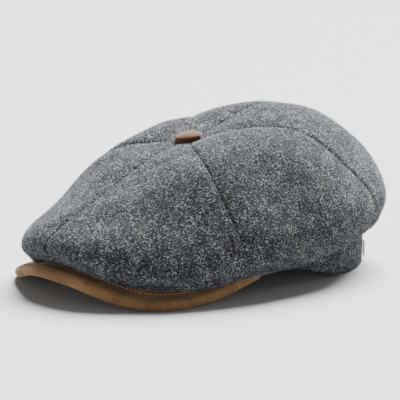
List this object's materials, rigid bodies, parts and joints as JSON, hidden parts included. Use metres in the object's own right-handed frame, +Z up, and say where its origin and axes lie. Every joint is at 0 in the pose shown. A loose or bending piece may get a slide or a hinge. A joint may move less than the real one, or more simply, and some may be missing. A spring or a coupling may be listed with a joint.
{
  "type": "flat cap",
  "caption": "Soft flat cap of grey melange wool: puffed panelled crown, covered button, wool headband, stiff suede-covered arched peak and a plain metal plate at the back",
  "frame": {"origin": "Centre of the cap's box in plan, at the height of the surface that it stands on", "axes": "+Z up, the peak points along -Y, the wearer's left is +X"},
  "size_m": [0.205, 0.2913, 0.1181],
  "materials": {
    "grey_wool": "brushed melange wool",
    "tan_suede": "napped suede",
    "bright_metal": "satin metal"
  },
  "bodies": {
    "root": {"crown_panel_front_left": "grey_wool", "crown_panel_side_left": "grey_wool", "crown_panel_back_left": "grey_wool", "crown_panel_front_right": "grey_wool", "crown_panel_side_right": "grey_wool", "crown_panel_back_right": "grey_wool", "headband": "grey_wool", "peak": "tan_suede", "button": "tan_suede", "plate": "bright_metal"}
  },
  "joints": []
}
